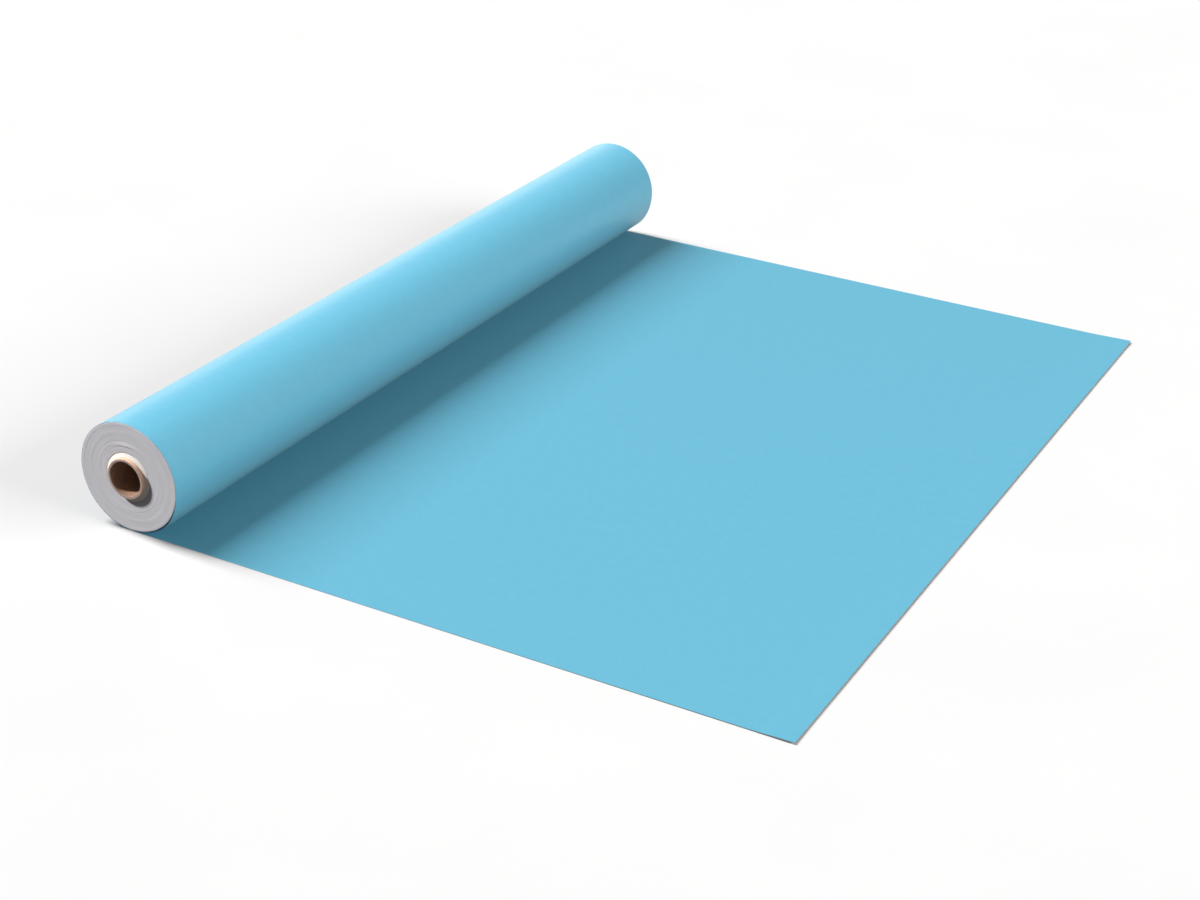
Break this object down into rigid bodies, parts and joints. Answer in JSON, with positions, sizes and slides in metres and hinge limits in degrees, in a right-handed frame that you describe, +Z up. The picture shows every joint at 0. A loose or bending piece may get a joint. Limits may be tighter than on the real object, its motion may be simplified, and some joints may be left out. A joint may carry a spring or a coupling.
{
  "type": "backdrop paper roll",
  "caption": "Roll of studio backdrop paper on a cardboard core, lying on the floor with part of the sheet unrolled flat; the roll travels along the sheet and turns as it winds it up.",
  "frame": {"origin": "on the floor, on the underside of the laid sheet, directly below the roll's axis and halfway along the roll", "axes": "+X along the unrolled sheet towards its free edge, +Y along the axis of the roll, +Z up"},
  "size_m": [1.0539, 1.363, 0.1605],
  "materials": {
    "blue_paper": "matt pale blue uncoated paper",
    "paper_edges": "cut edges of wound paper, grey with faint turns",
    "tape": "masking tape",
    "white_paper": "matt off-white paper",
    "dark_kraft": "raw kraft liner",
    "grey_board": "raw grey board",
    "kraft": "raw kraft board"
  },
  "bodies": {
    "floor_sheet": {"laid_sheet": "blue_paper"},
    "running_turn": {"outer_turn": "blue_paper"},
    "roll": {"wound_paper": "paper_edges", "start_tape": "tape", "white_leader_wrap": "white_paper", "core_inner_liner": "dark_kraft", "core_board_ply_1": "grey_board", "core_board_ply_2": "grey_board", "core_board_ply_3": "grey_board", "core_outer_kraft": "kraft"}
  },
  "joints": [
    {"name": "roll_travel", "type": "slide", "parent": "floor_sheet", "child": "running_turn", "axis": [1, 0, 0], "range_m": [0, 0.95]},
    {"name": "roll_spin", "type": "hinge", "parent": "running_turn", "child": "roll", "pos_m": [0, 0, 0.08055], "axis": [0, 1, 0], "range_deg": [0, 681]}
  ],
  "couplings": [
    {"joint": "roll_spin", "follows": "roll_travel", "rad_per_m": 12.5}
  ]
}
